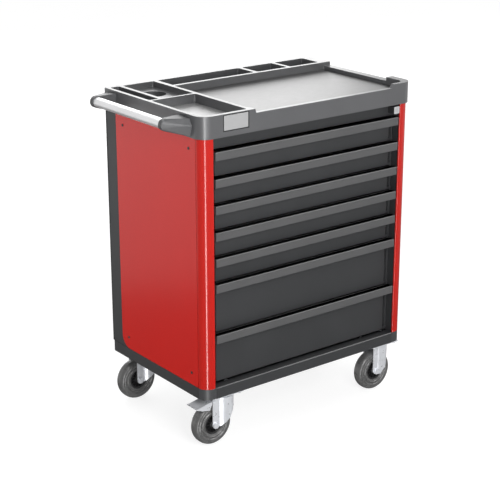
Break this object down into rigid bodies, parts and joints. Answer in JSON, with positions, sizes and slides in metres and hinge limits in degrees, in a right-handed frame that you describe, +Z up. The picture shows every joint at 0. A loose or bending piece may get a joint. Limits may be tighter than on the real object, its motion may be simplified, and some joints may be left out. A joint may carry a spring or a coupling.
{
  "type": "workshop drawer trolley",
  "caption": "Wheeled workshop cabinet with telescopic drawers under a moulded top tray, a push handle at the left end and castors, of which one brakes.",
  "frame": {"origin": "middle of the footprint of the bounding box, on the floor under the wheels", "axes": "+X along the drawer fronts, away from the push handle; drawers open towards -Y; +Z up"},
  "size_m": [0.834, 0.481, 0.97],
  "materials": {
    "dark_paint": "fine textured powder coat",
    "red_paint": "gloss powder coat",
    "strip_grey": "satin",
    "moulded_plastic": "fine grained",
    "grey_plastic": "fine grained",
    "black_plastic": "matte",
    "tyre_rubber": "matte rubber",
    "steel_sheet": "satin sheet",
    "label_metal": "satin",
    "tube_aluminium": "satin coated",
    "lock_metal": "satin cast",
    "zinc": "bright zinc plated",
    "black_steel": "blackened"
  },
  "bodies": {
    "cabinet": {"base_tray": "dark_paint", "base_corner_pieces": "grey_plastic", "side_wall_left": "dark_paint", "side_wall_right": "dark_paint", "back_panel": "dark_paint", "top_panel": "dark_paint", "column_left": "red_paint", "column_right": "red_paint", "side_panel_left": "red_paint", "side_panel_right": "red_paint", "panel_screws": "black_steel", "top_moulding": "moulded_plastic", "worktop_sheet": "steel_sheet", "tray_sheet": "steel_sheet", "label_plate": "label_metal", "handle_tube": "tube_aluminium", "handle_bracket_front": "moulded_plastic", "handle_bracket_rear": "moulded_plastic", "lock_housing": "lock_metal", "slide_outer_members": "zinc", "swivel_plates": "zinc", "castor_bolts": "zinc", "fixed_forks": "zinc", "fixed_axle_bolts": "zinc"},
    "drawer_1": {"drawer_1": "dark_paint", "drawer_handle_1": "strip_grey"},
    "slide_1": {"slide_middle_1": "zinc"},
    "drawer_2": {"drawer_2": "dark_paint", "drawer_handle_2": "strip_grey"},
    "slide_2": {"slide_middle_2": "zinc"},
    "drawer_3": {"drawer_3": "dark_paint", "drawer_handle_3": "strip_grey"},
    "slide_3": {"slide_middle_3": "zinc"},
    "drawer_4": {"drawer_4": "dark_paint", "drawer_handle_4": "strip_grey"},
    "slide_4": {"slide_middle_4": "zinc"},
    "drawer_5": {"drawer_5": "dark_paint", "drawer_handle_5": "strip_grey"},
    "slide_5": {"slide_middle_5": "zinc"},
    "drawer_6": {"drawer_6": "dark_paint", "drawer_handle_6": "strip_grey"},
    "slide_6": {"slide_middle_6": "zinc"},
    "drawer_7": {"drawer_7": "dark_paint", "drawer_handle_7": "strip_grey"},
    "slide_7": {"slide_middle_7": "zinc"},
    "lock_cylinder": {"lock_cylinder": "lock_metal"},
    "locking_bar": {"locking_bar": "zinc"},
    "swivel_front": {"swivel_fork_front": "zinc", "swivel_axle_front": "zinc"},
    "wheel_front_left": {"hub_front_left": "black_plastic", "tyre_front_left": "tyre_rubber"},
    "wheel_front_right": {"hub_front_right": "black_plastic", "tyre_front_right": "tyre_rubber"},
    "swivel_rear": {"swivel_fork_rear": "zinc", "swivel_axle_rear": "zinc"},
    "wheel_rear_left": {"hub_rear_left": "black_plastic", "tyre_rear_left": "tyre_rubber"},
    "wheel_rear_right": {"hub_rear_right": "black_plastic", "tyre_rear_right": "tyre_rubber"},
    "brake_pedal": {"brake_pedal": "zinc"}
  },
  "joints": [
    {"name": "drawer_1_slide", "type": "slide", "parent": "cabinet", "child": "drawer_1", "axis": [0, -1, 0], "range_m": [0, 0.4]},
    {"name": "slide_1_extend", "type": "slide", "parent": "cabinet", "child": "slide_1", "axis": [0, -1, 0], "range_m": [0, 0.2]},
    {"name": "drawer_2_slide", "type": "slide", "parent": "cabinet", "child": "drawer_2", "axis": [0, -1, 0], "range_m": [0, 0.4]},
    {"name": "slide_2_extend", "type": "slide", "parent": "cabinet", "child": "slide_2", "axis": [0, -1, 0], "range_m": [0, 0.2]},
    {"name": "drawer_3_slide", "type": "slide", "parent": "cabinet", "child": "drawer_3", "axis": [0, -1, 0], "range_m": [0, 0.4]},
    {"name": "slide_3_extend", "type": "slide", "parent": "cabinet", "child": "slide_3", "axis": [0, -1, 0], "range_m": [0, 0.2]},
    {"name": "drawer_4_slide", "type": "slide", "parent": "cabinet", "child": "drawer_4", "axis": [0, -1, 0], "range_m": [0, 0.4]},
    {"name": "slide_4_extend", "type": "slide", "parent": "cabinet", "child": "slide_4", "axis": [0, -1, 0], "range_m": [0, 0.2]},
    {"name": "drawer_5_slide", "type": "slide", "parent": "cabinet", "child": "drawer_5", "axis": [0, -1, 0], "range_m": [0, 0.4]},
    {"name": "slide_5_extend", "type": "slide", "parent": "cabinet", "child": "slide_5", "axis": [0, -1, 0], "range_m": [0, 0.2]},
    {"name": "drawer_6_slide", "type": "slide", "parent": "cabinet", "child": "drawer_6", "axis": [0, -1, 0], "range_m": [0, 0.4]},
    {"name": "slide_6_extend", "type": "slide", "parent": "cabinet", "child": "slide_6", "axis": [0, -1, 0], "range_m": [0, 0.2]},
    {"name": "drawer_7_slide", "type": "slide", "parent": "cabinet", "child": "drawer_7", "axis": [0, -1, 0], "range_m": [0, 0.4]},
    {"name": "slide_7_extend", "type": "slide", "parent": "cabinet", "child": "slide_7", "axis": [0, -1, 0], "range_m": [0, 0.2]},
    {"name": "locking_bar_slide", "type": "slide", "parent": "cabinet", "child": "locking_bar", "axis": [0, 0, 1], "range_m": [0, 0.008]},
    {"name": "lock_turn", "type": "hinge", "parent": "cabinet", "child": "lock_cylinder", "pos_m": [0.359, -0.2355, 0.8906], "axis": [0, -1, 0], "range_deg": [0, 90]},
    {"name": "castor_swivel_front", "type": "hinge", "parent": "cabinet", "child": "swivel_front", "pos_m": [-0.25, -0.1922, 0.145], "axis": [0, 0, 1], "continuous": true},
    {"name": "wheel_spin_front_left", "type": "hinge", "parent": "swivel_front", "child": "wheel_front_left", "pos_m": [-0.288, -0.1922, 0.0625], "axis": [0, 1, 0], "continuous": true},
    {"name": "wheel_spin_front_right", "type": "hinge", "parent": "cabinet", "child": "wheel_front_right", "pos_m": [0.33, -0.1922, 0.0625], "axis": [0, 1, 0], "continuous": true},
    {"name": "castor_swivel_rear", "type": "hinge", "parent": "cabinet", "child": "swivel_rear", "pos_m": [-0.25, 0.1979, 0.145], "axis": [0, 0, 1], "continuous": true},
    {"name": "wheel_spin_rear_left", "type": "hinge", "parent": "swivel_rear", "child": "wheel_rear_left", "pos_m": [-0.288, 0.1979, 0.0625], "axis": [0, 1, 0], "continuous": true},
    {"name": "wheel_spin_rear_right", "type": "hinge", "parent": "cabinet", "child": "wheel_rear_right", "pos_m": [0.33, 0.1979, 0.0625], "axis": [0, 1, 0], "continuous": true},
    {"name": "brake_pedal_press", "type": "hinge", "parent": "swivel_front", "child": "brake_pedal", "pos_m": [-0.29, -0.1922, 0.134], "axis": [0, -1, 0], "range_deg": [0, 12]}
  ],
  "couplings": [
    {"joint": "slide_1_extend", "follows": "drawer_1_slide", "ratio": 0.5},
    {"joint": "slide_2_extend", "follows": "drawer_2_slide", "ratio": 0.5},
    {"joint": "slide_3_extend", "follows": "drawer_3_slide", "ratio": 0.5},
    {"joint": "slide_4_extend", "follows": "drawer_4_slide", "ratio": 0.5},
    {"joint": "slide_5_extend", "follows": "drawer_5_slide", "ratio": 0.5},
    {"joint": "slide_6_extend", "follows": "drawer_6_slide", "ratio": 0.5},
    {"joint": "slide_7_extend", "follows": "drawer_7_slide", "ratio": 0.5},
    {"joint": "lock_turn", "follows": "locking_bar_slide", "rad_per_m": 196.3}
  ]
}
